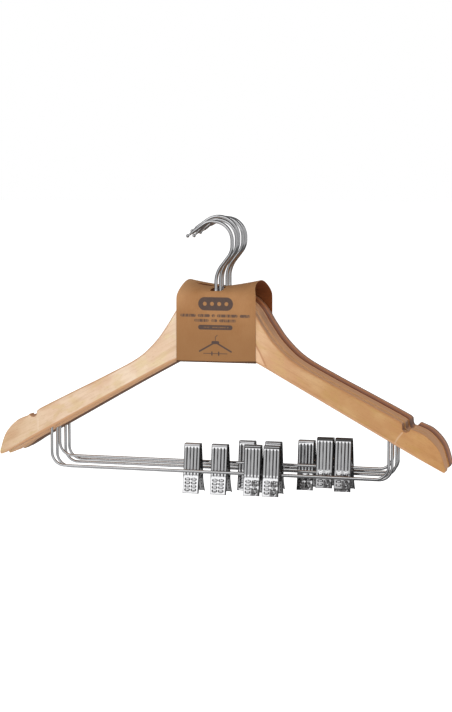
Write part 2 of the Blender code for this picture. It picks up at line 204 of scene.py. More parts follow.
def smoothShade(mesh, limit):
    mesh.shade_smooth()
    mesh.set_sharp_from_angle(angle=radians(limit))


def smoothRun(knots, steps):
    # Catmull-Rom points through the knots
    padded = [knots[0], *knots, knots[-1]]
    points = []
    for index in range(1, len(padded) - 2):
        before, start, end, after = (Vector(knot) for knot in padded[index - 1:index + 3])
        for step in range(steps):
            t = step / steps
            points.append(0.5 * (
                2 * start
                + (end - before) * t
                + (2 * before - 5 * start + 4 * end - after) * t ** 2
                + (3 * start - before - 3 * end + after) * t ** 3
            ))
    points.append(Vector(knots[-1]))
    return points


def arcPoints(centre, radius, start, sweep, steps):
    angles = [start + sweep * step / steps for step in range(steps + 1)]
    return [Vector(centre) + radius * Vector((cos(a), 0, sin(a))) for a in angles]


def blend(first, second, share):
    return first + (second - first) * share


def eased(value, start=0, run=1):
    # 0 at the start to 1 after the run, with flat ends
    share = min(max((value - start) / run, 0), 1)
    return share * share * (3 - 2 * share)


# Helpers for materials: shader maths is written as Python expressions
def overload(operation, reflected=False):
    def apply(self, other):
        pair = (other, self) if reflected else (self, other)
        return self.look.maths(operation, *pair)
    return apply


class Signal:
    __add__ = __radd__ = overload("ADD")
    __sub__ = overload("SUBTRACT")
    __rsub__ = overload("SUBTRACT", reflected=True)
    __mul__ = overload("MULTIPLY")
    __truediv__ = overload("DIVIDE")
    __pow__ = overload("POWER")

    def __init__(self, look, socket):
        self.look = look
        self.socket = socket

    def __abs__(self):
        return self.look.maths("ABSOLUTE", self)

    def fade(self, low, high):
        # 0 at low, 1 at high, flat at both; low may be the greater one
        return self.look.node(
            "ShaderNodeMapRange", {"interpolation_type": "SMOOTHSTEP"},
            {"Value": self, "From Min": low, "From Max": high},
        )

    def between(self, low, full, ending, high):
        # 1 from full to ending, 0 below low and above high
        return self.fade(low, full) * self.fade(high, ending)


class Wiring:
    def __init__(self, tree):
        self.tree = tree

    def node(self, kind, settings, inputs, out=0):
        # settings first, then sockets by name or number
        node = self.tree.nodes.new(kind)
        adjust(node, settings)
        for key, value in inputs.items():
            if isinstance(value, Signal):
                self.tree.links.new(value.socket, node.inputs[key])
            else:
                node.inputs[key].default_value = value
        return Signal(self, node.outputs[out])

    def ramp(self, value, stops):
        # a colour for each position, in display levels
        signal = self.node("ShaderNodeValToRGB", {}, {"Fac": value})
        elements = signal.socket.node.color_ramp.elements
        while len(elements) < len(stops):
            elements.new(0.5)
        for element, (position, levels) in zip(elements, stops):
            element.position = position
            element.color = (*toLinear(*levels), 1)
        return signal

    def maths(self, operation, *values):
        return self.node("ShaderNodeMath", {"operation": operation}, dict(enumerate(values)))

    def most(self, first, *others):
        for other in others:
            first = self.maths("MAXIMUM", first, other)
        return first

    def mix(self, share, first, second, mode="MIX"):
        colours = [value if isinstance(value, Signal) else (*value, 1) for value in (first, second)]
        return self.node(
            "ShaderNodeMix", {"data_type": "RGBA", "blend_type": mode},
            {0: share, 6: colours[0], 7: colours[1]}, out=2,
        )

    def paint(self, share, under, levels):
        # a share of a colour in display levels over what is there
        return self.mix(share, under, toLinear(*levels))

    def place(self, turn=(0, 0, 0), scale=(1, 1, 1), move=(0, 0, 0)):
        # the piece's own coordinates, moved and turned, then stretched
        spot = self.node("ShaderNodeTexCoord", {}, {}, out="Object")
        turned = self.node("ShaderNodeMapping", {}, {"Vector": spot, "Rotation": turn, "Location": move})
        return self.node("ShaderNodeMapping", {}, {"Vector": turned, "Scale": scale})

    def noise(self, *values):
        # values left out stay as the node has them
        sockets = ("Vector", "Scale", "Detail", "Roughness", "Distortion")
        return self.node("ShaderNodeTexNoise", {}, dict(zip(sockets, values)))

    def parts(self, place):
        split = self.node("ShaderNodeSeparateXYZ", {}, {"Vector": place})
        outputs = split.socket.node.outputs
        return [Signal(self, outputs[axis]) for axis in "XYZ"]

    def normal(self):
        return self.parts(self.node("ShaderNodeNewGeometry", {}, {}, out="Normal"))

    def bump(self, height, distance, strength):
        return self.node(
            "ShaderNodeBump", {}, {"Height": height, "Distance": distance, "Strength": strength}
        )


class Look(Wiring):
    def __init__(self, name, **fixed):
        self.material = bpy.data.materials.new(name)
        self.material.use_nodes = True
        super().__init__(self.material.node_tree)
        self.shader = self.tree.nodes["Principled BSDF"]
        for key, value in fixed.items():
            self.shader.inputs[key.replace("_", " ")].default_value = value

    def feed(self, **sockets):
        for key, value in sockets.items():
            self.tree.links.new(value.socket, self.shader.inputs[key.replace("_", " ")])
        return self.material


def toLinear(*levels):
    # display levels 0 to 255 as linear colour
    return tuple(
        level / 255 / 12.92 if level / 255 <= 0.04045 else ((level / 255 + 0.055) / 1.055) ** 2.4
        for level in levels
    )


# Beech boards
beech = {
    "pale": (238, 211, 184), "pink": (225, 188, 157), "straw": (226, 197, 154),
    "streak": (196, 150, 108), "fleck": (168, 112, 72), "mark": (244, 232, 216),
    "notch wall shade": (96, 56, 32), "left tints": ((243, 251, 255), (232, 230, 227), (221, 215, 202)),
    "right tints": ((220, 201, 176), (202, 178, 135), (200, 169, 119)),
    "tint runs": ((45 * mm, 130 * mm), (150 * mm, 210 * mm)), "grain angle": radians(28.6),
    "grain shift": (0.37, 0.11, 0.23), "grain depth": 0.05 * mm, "upper rim": (0.93, 0.6),
    "lower rim": (0.985, 0.88), "wall slope": (0.75, 0.95), "wall end": (200 * mm, 196 * mm),
}
# grain: squeezed across the board, then the noise's scale, detail, roughness and distortion
beechGrain = {
    "clouds": (1.6, 26, 3, 0.55),
    "patches": (2, 55, 2, 0.5),
    "streaks": (14, 16, 4, 0.6, 0.5),
    "fine": (22, 60, 3, 0.6),
    "flecks": (5, 420, 1, 0.4),
}
# tones over the pale wood: where the grain fades in, its share and its colour
beechTones = {
    "clouds": (0.38, 0.62, 1, "pink"),
    "patches": (0.48, 0.66, 0.8, "straw"),
    "streaks": (0.46, 0.76, 0.45, "streak"),
    "fine": (0.5, 0.8, 0.3, "streak"),
    "flecks": (0.66, 0.74, 0.3, "fleck"),
}
# colours across the board's edge from its front to its rear, then its lower edge: the edge's own tone with
# painted shade, deepest on board 4 in the gap behind board 3, at board 5's rear and under boards 4 and 5
beechEdgeShades = {
    1: ((0.0, (182, 128, 84)), (0.16, (192, 138, 92)), (0.85, (192, 138, 92)), (1.0, (172, 124, 82))),
    2: ((0.0, (184, 136, 92)), (0.2, (196, 142, 95)), (0.85, (194, 140, 93)), (1.0, (178, 124, 80))),
    3: ((0.0, (182, 128, 83)), (0.2, (186, 132, 87)), (0.7, (198, 140, 92)), (1.0, (204, 146, 96))),
    4: ((0.0, (112, 54, 20)), (0.5, (128, 68, 30)), (0.75, (150, 90, 50)), (1.0, (168, 108, 68))),
    5: ((0.0, (170, 106, 66)), (0.3, (178, 116, 76)), (0.6, (140, 96, 70)), (1.0, (96, 68, 52))),
}
beechUnderShades = {1: (188, 142, 102), 2: (192, 148, 108), 3: (186, 142, 106), 4: (98, 68, 48), 5: (92, 62, 42)}


def beechLook(name, side, word, number):
    look = Look(name, Coat_Weight=0.08, Coat_Roughness=0.35)
    turn = (0, side * -beech["grain angle"], 0)
    seed = 2 * number + side
    shift = tuple(seed * part for part in beech["grain shift"])
    grain = {}
    for key, (squeeze, *values) in beechGrain.items():
        grain[key] = look.noise(look.place(turn, (1, squeeze, squeeze), shift), *values)
    body = toLinear(*beech["pale"])
    shown = {}
    for key, (low, high, share, colour) in beechTones.items():
        shown[key] = grain[key].fade(low, high)
        body = look.paint(shown[key] * share, body, beech[colour])
    x, y, z = look.parts(look.place())
    reach = abs(x)
    # each arm's own tone, warmer on the right, times painted shade that darkens it towards its tip as the
    # light falls off
    falloffTints = beech[f"{word} tints"]
    falloffTint = toLinear(*falloffTints[0])
    for run, levels in zip(beech["tint runs"], falloffTints[1:]):
        falloffTint = look.paint(reach.fade(*run), falloffTint, levels)
    body = look.mix(1, body, falloffTint, "MULTIPLY")
    if number == 1:
        body = frontMarks(look, body, x, z, word)
    normal = look.normal()
    facing = abs(normal[1])
    upward = normal[2].fade(-0.1, 0.1)
    above, below = (facing.fade(*beech[key]) for key in ("upper rim", "lower rim"))
    rim = below + upward * (above - below)
    # the edge colours: the edge's own tone with painted shade
    top = look.ramp(y / board["thickness"] + 0.5, beechEdgeShades[number])
    # painted shade on the notch's walls
    wall = (normal[0] * side).fade(*beech["wall slope"]) * reach.fade(*beech["wall end"])
    top = look.paint(wall * 0.75, top, beech["notch wall shade"])
    edge = look.mix(upward, toLinear(*beechUnderShades[number]), top)
    wornAndLit = grain["streaks"].fade(0.35, 0.75) * 0.08
    body = look.mix(rim * (1 - wornAndLit), body, edge)
    relief = look.bump(grain["fine"] * 0.6 + grain["streaks"] * 0.4, beech["grain depth"], 0.35)
    rough = 0.4 + grain["clouds"] * 0.16 + shown["flecks"] * 0.1
    return look.feed(Base_Color=body, Roughness=rough, Normal=relief)


growthRing = inMm({
    "x": -88.9, "z": 39.0, "radius": 150.3, "wobble": 1.2, "line": (1.3, 0.3),
}) | {
    "strength": 0.75, "inside": (226, 186, 150), "inside share": 0.45,
}
# faint light lines by the notches: strength, then width and points in mm
notchLines = {
    "left": (0.12, 1.8, (-182.3, 34.5), (-182.1, 24.0)),
    "right": (0.17, 1.4, (183.9, 34.7), (180.0, 30.1), (175.6, 22.6)),
}


def frontMarks(look, body, x, z, word):
    if word == "right":
        body = ringMark(look, body, x, z)
    strength, *line = notchLines[word]
    return look.paint(strokes(look, x, z, *line) * strength, body, beech["mark"])


def ringMark(look, body, x, z):
    # a dark growth ring on the face, with paler wood inside it
    across = x - growthRing["x"]
    up = z - growthRing["z"]
    wobble = (look.noise(look.place(), 60) - 0.5) * growthRing["wobble"]
    outside = (across * across + up * up) ** 0.5 - growthRing["radius"] + wobble
    inside = outside.fade(0, -mm)
    body = look.paint(inside * growthRing["inside share"], body, growthRing["inside"])
    line = abs(outside).fade(*growthRing["line"])
    return look.paint(line * growthRing["strength"], body, beech["fleck"])


def strokes(look, x, z, width, *points):
    # 1 along straight strokes from point to point, all in mm
    half = width / 2 * mm
    masks = []
    for start, end in zip(points, points[1:]):
        x1, z1, x2, z2 = (value * mm for value in (*start, *end))
        run = Vector((x2 - x1, z2 - z1))
        length = run.length
        run.normalize()
        along = (x - x1) * run.x + (z - z1) * run.y
        off = (z - z1) * run.x - (x - x1) * run.y
        past = look.most(abs(along - length / 2) - length / 2, 0)
        distance = (off * off + past * past) ** 0.5
        masks.append(distance.fade(half + 0.2 * mm, half - 0.15 * mm))
    return look.most(*masks)


board = inMm({
    "span": 222.5, "neck": 162.7, "thickness": 12, "flat half": 36.5, "rounding": 2.6,
    "lower rounding": 3.8, "notch rounding": 0.9, "tip rounding": 0.8, "corner": 3,
    "notch start": 183.7, "notch width": 7.8, "notch blend": 3, "left notch": 6.8,
    "right notch": 8.5, "finger half": 4, "joint gap": 0.7, "leg x": 170, "leg seat": 15.3,
    "leg hole": 1.7, "bore": 3.5, "bore depth": 24, "over": 5,
    # where a change starts, and over how long it runs
    "lower band": (4, -2), "lower run": (36, 10), "tip run": (-38, 30), "bend run": (188, 34),
    "sag run": (70, 130),
}) | {
    "apex share": 0.729, "foot share": -0.0166, "rounding steps": 6, "finger top share": 0.787,
    "finger turns": 8, "short lift": 0.4,
}
# how many mm each tip reaches out and hangs down beside the plain shape
tips = {
    "left": {1: (0.8, 0), 2: (-2.5, 1.6), 3: (-6, 2.2), 4: (-8.5, 2.2), 5: (-8.5, 2.2)},
    "right": {1: (2.6, 0)},
}
topShares = (
    (0.0, 1.0), (0.099, 0.98), (0.162, 0.916), (0.213, 0.81), (0.268, 0.707),
    (0.351, 0.604), (0.49, 0.5), (0.661, 0.3835), (0.803, 0.285), (0.861, 0.238),
    (0.919, 0.2), (0.972, 0.119), (1.0, 0.006),
)
notchShares = (
    (-0.22, -0.1), (-0.04, 0.1), (0.0, 0.3), (0.03, 0.62), (0.18, 0.9), (0.42, 1.0), (0.76, 0.9), (1.0, 0.6),
)


def lowerEdge(x):
    slope = board["neck"] * (board["apex share"] - board["foot share"]) / board["span"]
    return board["neck"] * board["apex share"] - slope * max(abs(x), board["flat half"])


def fingerLine(side):
    foot = lowerEdge(0)
    top = board["neck"] * board["finger top share"]
    pitch = (top - foot) / board["finger turns"]
    line = [(0, foot)]
    for turn in range(board["finger turns"]):
        swing = board["finger half"] if turn % 2 else -board["finger half"]
        line.append((swing, foot + (turn + 0.5) * pitch))
    line += [(0, top), (0, board["neck"])]
    return [(x + side * board["joint gap"] / 2, z) for x, z in line]


def notchLine(top, word):
    # the top edge with the notch let into it
    start = board["notch start"]
    end = start + board["notch width"]
    rim = heightAlong(top, start)
    wide, deep = board["notch width"], board[f"{word} notch"]
    floor = smoothRun([(start + wide * x, rim - deep * z) for x, z in notchShares], 3)
    before = [point for point in top if point.x < start - 2.2 * mm]
    after = [point for point in top if point.x > end + 0.5 * mm]
    return before + floor + after


def heightAlong(line, x):
    for first, second in zip(line, line[1:]):
        if first.x <= x <= second.x:
            return blend(first.y, second.y, (x - first.x) / (second.x - first.x))
    return line[-1].y


def armOutline(side):
    span = board["span"]
    tip = Vector((span, lowerEdge(span)))
    back = Vector((-span, lowerEdge(0) - lowerEdge(span))).normalized()
    start = tip + board["corner"] * back
    top = smoothRun([(span * x, board["neck"] * z) for x, z in topShares], 7)
    top[0].x = board["joint gap"]
    corner = [start.lerp(tip, t).lerp(tip.lerp(top[-1], t), t) for t in (0, 0.2, 0.4, 0.6, 0.8)]
    bend = Vector((board["flat half"], lowerEdge(0)))
    lower = [bend - Vector((mm, 0)), *(bend.lerp(corner[0], step / 24) for step in range(1, 24)), *corner]
    notched = notchLine(top, "left" if side < 0 else "right")
    outer = [Vector((side * point.x, point.y)) for point in lower + notched[:0:-1]]
    return outer + [Vector(point) for point in fingerLine(side)[::-1]]


def edgeRadius(point):
    # how far the board's edge is rounded: less in the notch, none in the joint
    start = board["notch start"]
    across = abs(point.x)
    if across < board["finger half"] + board["joint gap"]:
        return 0
    near = eased(1 - max(start - across, across - start - board["notch width"]) / board["notch blend"])
    low = eased(point.y - lowerEdge(across), *board["lower band"]) * eased(across, *board["lower run"])
    plain = blend(board["rounding"], board["lower rounding"], low)
    radius = blend(plain, board["notch rounding"], near * (1 - low))
    return blend(radius, board["tip rounding"], eased(across - board["span"], *board["tip run"]))


def inwards(outline):
    # each point's way into the board, longer at corners
    turn = sum(a.x * b.y - b.x * a.y for a, b in zip(outline, outline[1:] + outline[:1]))
    ways = []
    for index, point in enumerate(outline):
        before = (point - outline[index - 1]).normalized()
        after = (outline[(index + 1) % len(outline)] - point).normalized()
        middle = (before + after).normalized()
        way = Vector((-middle.y, middle.x)) * (1 if turn > 0 else -1)
        ways.append(way / max(middle.dot(before), 0.55))
    return ways


def roundedBoard(name, side):
    # the board as rings that shrink towards its two faces
    outline = armOutline(side)
    ways = inwards(outline)
    half = board["thickness"] / 2
    steps = board["rounding steps"]
    angles = [pi / 2 * step / steps for step in range(steps + 1)]
    layers = [(-1, 0, 0.2), *((-1, angle, 0) for angle in angles)]
    layers += [(1, angle, deeper) for face, angle, deeper in layers[::-1]]
    work = bmesh.new()
    rings = []
    for face, angle, deeper in layers:
        ring = []
        for point, way in zip(outline, ways):
            radius = edgeRadius(point)
            spot = point + way * radius * (1 - sin(angle) + deeper)
            ring.append(work.verts.new((spot.x, face * (half - radius * (1 - cos(angle))), spot.y)))
        rings.append(ring)
    bridge(work, rings)
    for ring in (rings[0], rings[-1]):
        work.faces.new(ring)
    bmesh.ops.remove_doubles(work, verts=work.verts, dist=weldGap)
    bmesh.ops.dissolve_degenerate(work, edges=work.edges, dist=weldGap)
    bmesh.ops.triangulate(work, faces=[face for face in work.faces if len(face.verts) > 4])
    bmesh.ops.recalc_face_normals(work, faces=work.faces)
    return tempObject(name, meshFrom(work, name))


def armMesh(name, side):
    foot = lowerEdge(board["leg x"])
    neck, over = board["neck"], board["over"]
    seat = foot + board["leg seat"]
    tools = [
        rodMesh(board["leg hole"], side * board["leg x"], foot - over, seat, 24),
        rodMesh(board["bore"], 0, neck - board["bore depth"], neck + over, 32),
    ]
    piece = tempObject(name, cutOrJoin(roundedBoard(name, side), tools, "DIFFERENCE"))
    smoothShade(piece.data, 40)
    modify(piece, "WEIGHTED_NORMAL", keep_sharp=True)
    return takeMesh(piece)


def hangerDatum(number):
    # where a hanger's middle, board centre and tip level lie, read from its nodes
    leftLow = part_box(f"hanger_{number}_left_arm")[0]
    rightLow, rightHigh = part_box(f"hanger_{number}_right_arm")
    foot = min(z for x, z in armOutline(1))
    return Vector(((leftLow.x + rightHigh.x) / 2, (rightLow.y + rightHigh.y) / 2, rightLow.z - foot))


def bendTip(mesh, extra, sag):
    # the tips of the pack end differently; a shorter one also ends higher
    for vert in mesh.vertices:
        reach = abs(vert.co.x)
        longer = extra * mm * eased(reach, *board["bend run"])
        vert.co.x += copysign(1, vert.co.x) * longer
        vert.co.z -= sag * mm * eased(reach, *board["sag run"]) + board["short lift"] * min(longer, 0)


def makeArms():
    meshes = {side: armMesh(f"arm{side}", side) for side in (-1, 1)}
    for number in numbers:
        datum = hangerDatum(number)
        for side, word in ((-1, "left"), (1, "right")):
            mesh = meshes[side].copy()
            bendTip(mesh, *tips[word].get(number, (0, 0)))
            mesh.materials.append(beechLook(f"beech_{word}_{number}", side, word, number))
            node = f"hanger_{number}_{word}_arm"
            newObject(f"beech_{word}_arm_{number}", mesh, datum, "frame", "beech", node)


makeArms()
print("arms made")


# Chromed wire
chrome = {
    "bright": (0.62, 0.62, 0.63),
    "dull": (0.5, 0.5, 0.51),
    "clouds": 90,
    "streaks": (240, 3, 0.6),
    "swell": 420,
}


def chromeLook(name, rough, level):
    look = Look(name, Metallic=1.0)
    return look.feed(**chromeSignals(look, rough, level, (1, 1, 1), 0.03 * mm))


def chromeSignals(look, rough, level, smear, waves):
    along = look.place(scale=smear)
    streaks = look.noise(along, *chrome["streaks"])
    dull = look.noise(look.place(), chrome["clouds"]).fade(0.35, 0.75)
    bright, soft = (tuple(level * part for part in chrome[key]) for key in ("bright", "dull"))
    tone = look.mix(dull * 0.6, bright, soft)
    bump = look.bump(streaks * 0.1 + look.noise(along, chrome["swell"]), waves, 0.5)
    return {"Base_Color": tone, "Roughness": rough + streaks * 0.06 + dull * 0.04, "Normal": bump}


wireChrome = chromeLook("chrome_wire", 0.1, 1.0)
springSteel = chromeLook("spring_steel", 0.22, 0.6)
wires = inMm({
    "hook radius": 1.7, "bend radius": 26, "corner radius": 16, "run": 14.2, "ring radius": 18.6,
    "tip": 18.7, "side straight": 2.4, "ball radius": 1.75, "neck radius": 1.0, "neck length": 2.2,
    "head radius": 2.8, "head length": 5, "bar radius": 1.4, "bar bend": 13,
}) | {
    "lean": radians(38), "sweep": radians(159),
}
# how each hook is bent: degrees further round, then mm longer at the tip, higher and wider
hookBends = {
    1: (4, 0, 1.6, 0),
    2: (12, -3, 1.6, 0),
    3: (4, 0, 0.8, 1.6),
    4: (8, -2, 1.6, 0),
    5: (-2, -4.2, 0, 0),
}


def hookRoute(crown, foot, further, longer, higher, wider):
    # from the ring back to the stem, so that the crown's height sets where the bend starts
    lean = wires["lean"]
    along = Vector((sin(lean), 0, cos(lean)))
    inward = Vector((-cos(lean), 0, sin(lean)))
    bend = wires["bend radius"]
    bendEnd = Vector((bend, 0, 0)) + bend * inward
    softer = (bend - wires["corner radius"]) * tan(lean / 2)
    straight = wires["side straight"]
    radius = wires["ring radius"]
    leanEnd = bendEnd + (wires["run"] - softer) * along
    stem = crown - wires["hook radius"] - radius - (leanEnd + radius * inward).z - straight
    radius += wider * mm
    centre = leanEnd + radius * inward
    side = Vector((0, 0, straight + higher * mm))
    rise = Vector((0, 0, stem))
    arc = arcPoints(rise + Vector((bend, 0, 0)), bend, pi, -lean, 14)
    ring = arcPoints(centre + rise, radius, -lean, lean, 12)
    tipAngle = wires["sweep"] - lean + radians(further)
    ring += arcPoints(centre + rise + side, radius, 0, tipAngle, 32)
    onward = Vector((-sin(tipAngle), 0, cos(tipAngle)))
    head = wires["head radius"] / wires["hook radius"]
    top = foot + wires["head length"]
    route = [(0, 0, foot, 0.8), (0, 0, foot + mm, head), (0, 0, top - mm, head), (0, 0, top, 1)]
    straight = [arc[-1].lerp(ring[0], step / 3) for step in (1, 2)]
    route += [(*point, 1) for point in arc + straight + ring]
    ball = wires["ball radius"]
    ballCentre = ring[-1] + onward * (wires["tip"] + longer * mm)
    shoulder = ball + wires["neck length"]
    neck = wires["neck radius"] / wires["hook radius"]
    for back, share in ((shoulder + 2.2 * mm, 1), (shoulder + 1.2 * mm, 0.93), (shoulder, neck * 1.05)):
        route.append((*(ballCentre - onward * back), share))
    for degrees in range(-55, 86, 10):
        angle = radians(degrees)
        point = ballCentre + onward * ball * sin(angle)
        route.append((*point, ball * cos(angle) / wires["hook radius"]))
    return route


def makeHooks():
    for number in numbers:
        name = f"hook_{number}"
        low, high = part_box(f"hanger_{number}_hook")
        pivot = Vector(joints[f"{name}_swivel"]["pos_m"])
        route = hookRoute(high.z - pivot.z, low.z - pivot.z, *hookBends[number])
        mesh = wireMesh(name, route, wires["hook radius"], 5, wireChrome)
        newObject(f"wire_{name}", mesh, pivot, name, "chrome", f"hanger_{number}_hook")


def makeBars():
    for number in numbers:
        low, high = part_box(f"hanger_{number}_bar")
        middle = (low + high) / 2
        reach = (high.x - low.x) / 2 - wires["bar radius"]
        drop = low.z + wires["bar radius"] - middle.z
        bend = wires["bar bend"]
        left = arcPoints((bend - reach, 0, drop + bend), bend, pi, pi / 2, 12)
        right = arcPoints((reach - bend, 0, drop + bend), bend, -pi / 2, pi / 2, 12)
        top = high.z - middle.z
        straight = [left[-1].lerp(right[0], step / 12) for step in range(1, 12)]
        route = [(-reach, 0, top), *(tuple(point) for point in left + straight + right), (reach, 0, top)]
        mesh = wireMesh(f"bar_{number}", route, wires["bar radius"], 5, wireChrome)
        newObject(f"trouser_bar_{number}", mesh, middle, "frame", "chrome", f"hanger_{number}_bar")


makeHooks()
makeBars()
for number in numbers:
    ferrule = frame["nodes"][f"hanger_{number}_ferrule"]
    ferrule.data.materials.clear()
    ferrule.data.materials.append(springSteel)
print("wire made")


# Spring clips: stamped jaws with pressed ribs and bumps
clip = inMm({
    "width": 16, "sheet": 0.8, "above": 28.4, "below": 19.8, "lip face": 3.5, "waist face": 7,
    "lever face": 11, "mouth": 0.3, "ring": 3.2, "rib depth": 0.8, "rib pitch": 3.4,
    "rib swell": 0.12, "groove half": 0.95, "oval x": 3.2, "oval half": 2.2, "oval high": 1.3,
    "oval top": 6.2, "oval pitch": 3.35, "bump depth": 0.48, "cap foot": 24.6, "rolled": 0.6,
    "flange": 1.5, "hole": 1.7, "play": 0.3,
}) | {
    "oval rows": 4, "cap lean": 0.16, "lip steps": 8, "columns": 64,
}
# how many mm out the front and the rear lever's end stands on each hanger's clips
leverEnds = {1: (11, 12.4), 2: (11, 13.5), 3: (9.9, 9.7), 4: (11, 13.5), 5: (11, 13.5)}
# where the sheet's tones change, and what they are: painted shade and painted dark reflections
sheet = inMm({
    "groove": (0.75, 0.25), "ribs": (-3.4, -2.4, 24.2, 24.9), "side": (7.2, 7.8),
    "foot": (-18.9, -19.6), "cap": (25.2, 25.6), "line end": (27.1, 26.7), "lever": (-4, -5.5),
    "lever side": 2.5,
}) | {
    "oval rim": (0.42, 0.12), "oval ends": (0.5, 0.9), "dark": (0.035, 0.033, 0.032),
    "inner": (0.15, 0.145, 0.14),
}
# how dark the painted reflection of the room is on three hangers' front jaws: cap, its line, lever, from
# which x in mm
shadedJaws = {1: (0.3, 0.9, 0.95, -1.5), 3: (0.92, 0.92, 0.95, -1.5), 5: (0, 0, 1, -12)}


def jawLook(name, capShade, lineShade, leverShade, leverFrom):
    # chromed sheet with painted shade in its grooves, along its sides and foot and on its inner side, and
    # painted dark reflections round its ovals and on its cap, line and lever
    look = Look(name, Metallic=1.0)
    signals = chromeSignals(look, 0.07, 1.0, (1, 1, 0.35), 0.05 * mm)
    x, y, z = look.parts(look.place())
    pitch = clip["rib pitch"]
    groove = abs(look.maths("PINGPONG", x + 10 * pitch, pitch / 2) - pitch / 2)
    blotch = look.noise(look.place(scale=(1, 1, 0.15)), 300, 1).fade(0.42, 0.58)
    # painted shade in the grooves
    ribs = groove.fade(*sheet["groove"]) * z.between(*sheet["ribs"]) * (0.25 + blotch * 0.6)
    # painted dark reflections round the ovals
    ovalReflections = []
    dx = (abs(x) - clip["oval x"]) / clip["oval half"]
    for row in range(clip["oval rows"]):
        dz = (z + clip["oval top"] + row * clip["oval pitch"]) / clip["oval high"]
        away = (dx * dx + dz * dz) ** 0.5 - 1.05
        ovalReflections.append(abs(away).fade(*sheet["oval rim"]) * abs(dx).fade(*sheet["oval ends"]))
    # painted shade along the sides and foot
    borderShade = look.most(abs(x).fade(*sheet["side"]), z.fade(*sheet["foot"])) * 0.85
    # painted dark reflections on the cap, its line and the lever
    cap = z.fade(*sheet["cap"])
    line = cap * z.fade(*sheet["line end"])
    start = leverFrom * mm
    lever = z.fade(*sheet["lever"]) * x.fade(start, start + sheet["lever side"])
    reflectionSwirl = look.noise(look.place(), 230, 1, 0.5, 1.2).fade(0.4, 0.52)
    lever = lever * (0.12 + reflectionSwirl * 0.75) * leverShade
    dark = look.most(ribs, *ovalReflections, borderShade, cap * capShade, line * lineShade, lever)
    tone = look.mix(dark, signals["Base_Color"], sheet["dark"])
    # painted shade on the inner side
    inner = (y * look.normal()[1]).fade(0, -mm)
    signals["Base_Color"] = look.mix(inner * 0.3, tone, sheet["inner"])
    return look.feed(**signals)


plainSheet = jawLook("chrome_sheet", 0, 0, 0, 0)
shadedSheets = {number: jawLook(f"chrome_sheet_{number}", *part) for number, part in shadedJaws.items()}


def jawLine(end):
    # depth and height of the sheet's middle, from inside the lip to the lever's end
    half = clip["sheet"] / 2
    inner = clip["mouth"] / 2 + half
    outer = clip["lip face"] - half
    radius = (outer - inner) / 2
    centre = ((inner + outer) / 2, 0, clip["above"] - half - radius)
    line = [point.xz for point in arcPoints(centre, radius, pi, -pi, clip["lip steps"])]
    waist = Vector((clip["waist face"] - half, 0))
    # the lever flares only below the level of the next hanger's bar
    plainEnd = Vector((min(clip["lever face"], end * mm) - half, -clip["below"]))
    knee = waist.lerp(plainEnd, 0.5)
    leverEnd = Vector((end * mm - half, -clip["below"]))
    upper = [line[-1].lerp(waist, step / 44) for step in range(1, 45)]
    lower = smoothRun([waist, knee, leverEnd], 16)
    return line + upper + lower[1:]


def pressed(x, height):
    # how far the sheet is pressed out or in at a spot
    across = x / clip["width"]
    ribs = 0
    inRibs = eased(height, -2.8 * mm, 1.4 * mm) * eased(height, 25 * mm, -0.9 * mm)
    if inRibs > 0:
        pitch = clip["rib pitch"]
        away = abs((x / pitch) % 1 - 0.5) * pitch
        swell = clip["rib swell"] * (1 + cos(tau * x / pitch)) / 2
        ribs = inRibs * (swell - clip["rib depth"] * eased(1 - away / clip["groove half"]))
    bumps = 0
    for row in range(clip["oval rows"]):
        dx = (abs(x) - clip["oval x"]) / clip["oval half"]
        dz = (height + clip["oval top"] + row * clip["oval pitch"]) / clip["oval high"]
        bumps = max(bumps, clip["bump depth"] * eased(1.25 - hypot(dx, dz)))
    # the lever's sides are folded back, the jaw's are only rolled; the cap leans back
    deep = blend(clip["rolled"], clip["flange"], eased(height, -2 * mm, -3 * mm))
    roll = -deep * eased(abs(across), 0.45, 0.05)
    cap = -clip["cap lean"] * max(height - clip["cap foot"], 0)
    return ribs + bumps + roll + cap


def jawSheet(side, end):
    # the pressed sheet as a grid along the jaw's line, then given its thickness
    line = jawLine(end)
    columns = clip["columns"]
    work = bmesh.new()
    rows = []
    for index, point in enumerate(line):
        before = line[max(index - 1, 0)]
        after = line[min(index + 1, len(line) - 1)]
        run = (after - before).normalized()
        outward = Vector((-run.y, run.x))
        row = []
        for column in range(columns + 1):
            x = clip["width"] * (column / columns - 0.5)
            spot = point + outward * (pressed(x, point.y) if index > clip["lip steps"] else 0)
            row.append(work.verts.new((x, side * spot.x, spot.y)))
        rows.append(row)
    for upper, lower in zip(rows, rows[1:]):
        for column in range(columns):
            corners = (upper[column], upper[column + 1], lower[column + 1], lower[column])
            work.faces.new(corners if side > 0 else corners[::-1])
    return thickened(meshFrom(work, "jawSheet"), clip["sheet"], 0)


def earOutline(side, end):
    line = jawLine(end)[clip["lip steps"]:]
    up = min(line, key=lambda point: abs(point.y - clip["above"] * 0.3))
    down = min(line, key=lambda point: abs(point.y + clip["below"] * 0.3))
    ring = arcPoints((0, 0, 0), clip["ring"], radians(100), radians(160), 10)
    return [(side * x, z) for x, z in (up, *(point.xz for point in ring), down)]


alongBar = Matrix(((0, 0, 1, 0), (1, 0, 0, 0), (0, 1, 0, 0), (0, 0, 0, 1)))


